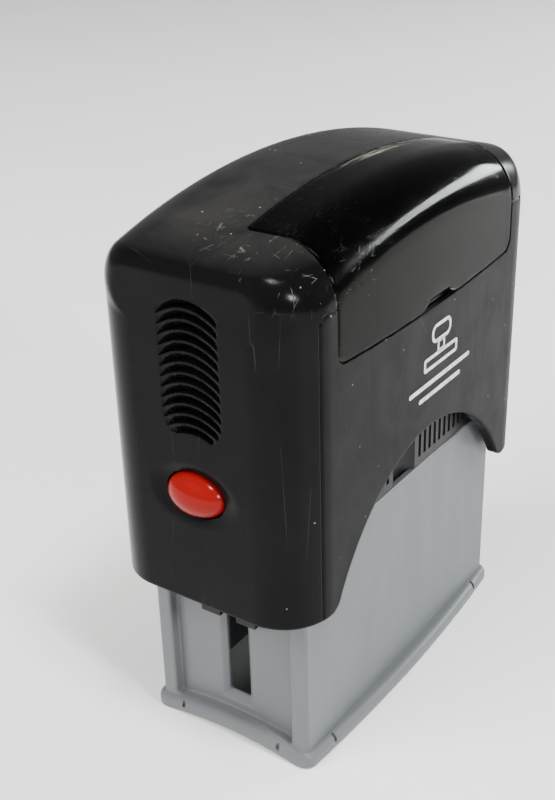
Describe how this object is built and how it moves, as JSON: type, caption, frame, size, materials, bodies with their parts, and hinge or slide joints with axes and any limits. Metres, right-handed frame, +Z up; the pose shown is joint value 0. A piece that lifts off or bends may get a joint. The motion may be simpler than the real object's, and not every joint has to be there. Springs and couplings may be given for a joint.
{
  "type": "self-inking stamp",
  "caption": "Self-inking hand stamp: a sprung hood slides on a frame and turns the die plate from the ink pad to the table.",
  "frame": {"origin": "middle of the base at table height", "axes": "+X along the print, -Y the marked front face with the drop-down window, +Z up; the hood's stroke is along -Z"},
  "size_m": [0.074, 0.0346, 0.0849],
  "materials": {
    "grey_plastic": "satin moulded",
    "black_plastic": "satin moulded",
    "cartridge_plastic": "satin moulded",
    "hood_plastic": "glossy on the ends and top, satin on the long faces",
    "window_plastic": "clear smoked plastic",
    "red_plastic": "glossy",
    "plate_plastic": "satin moulded",
    "pad_felt": "ink-soaked felt",
    "cushion_foam": "closed-cell foam",
    "die_rubber": "engraved rubber",
    "screw_steel": "plated steel",
    "spring_steel": "drawn wire"
  },
  "bodies": {
    "base": {"base_frame": "grey_plastic", "spring_bridge": "black_plastic", "bridge_screws": "screw_steel", "ink_cartridge": "cartridge_plastic", "ink_pad": "pad_felt", "main_spring": "spring_steel"},
    "hood": {"hood_shell": "hood_plastic", "yoke": "black_plastic", "yoke_screws": "screw_steel", "spring_guide": "black_plastic"},
    "plate": {"die_plate": "plate_plastic", "axle_pins": "screw_steel", "turn_pins": "screw_steel", "die_cushion": "cushion_foam", "rubber_die": "die_rubber"},
    "window": {"index_window": "window_plastic"},
    "button_left": {"button_cap_left": "red_plastic", "lock_latch_left": "black_plastic"},
    "button_right": {"button_cap_right": "red_plastic", "lock_latch_right": "black_plastic"}
  },
  "joints": [
    {"name": "hood_press", "type": "slide", "parent": "base", "child": "hood", "axis": [0, 0, -1], "range_m": [0, 0.017], "stiffness_N_per_m": 500, "springref_m": -0.01, "deforming": ["main_spring"]},
    {"name": "plate_flip", "type": "hinge", "parent": "hood", "child": "plate", "pos_m": [0, 0, 0.0256], "axis": [1, 0, 0], "range_deg": [0, 180]},
    {"name": "lock_left", "type": "slide", "parent": "hood", "child": "button_left", "axis": [1, 0, 0], "range_m": [0, 0.0018], "stiffness_N_per_m": 300, "springref_m": -0.002},
    {"name": "lock_right", "type": "slide", "parent": "hood", "child": "button_right", "axis": [-1, 0, 0], "range_m": [0, 0.0018], "stiffness_N_per_m": 300, "springref_m": -0.002},
    {"name": "window_lift", "type": "slide", "parent": "hood", "child": "window", "axis": [0, -0.7071, 0.7071], "range_m": [0, 0.015]}
  ],
  "couplings": [
    {"joint": "plate_flip", "follows": "hood_press", "rad_per_m": 184.79}
  ]
}
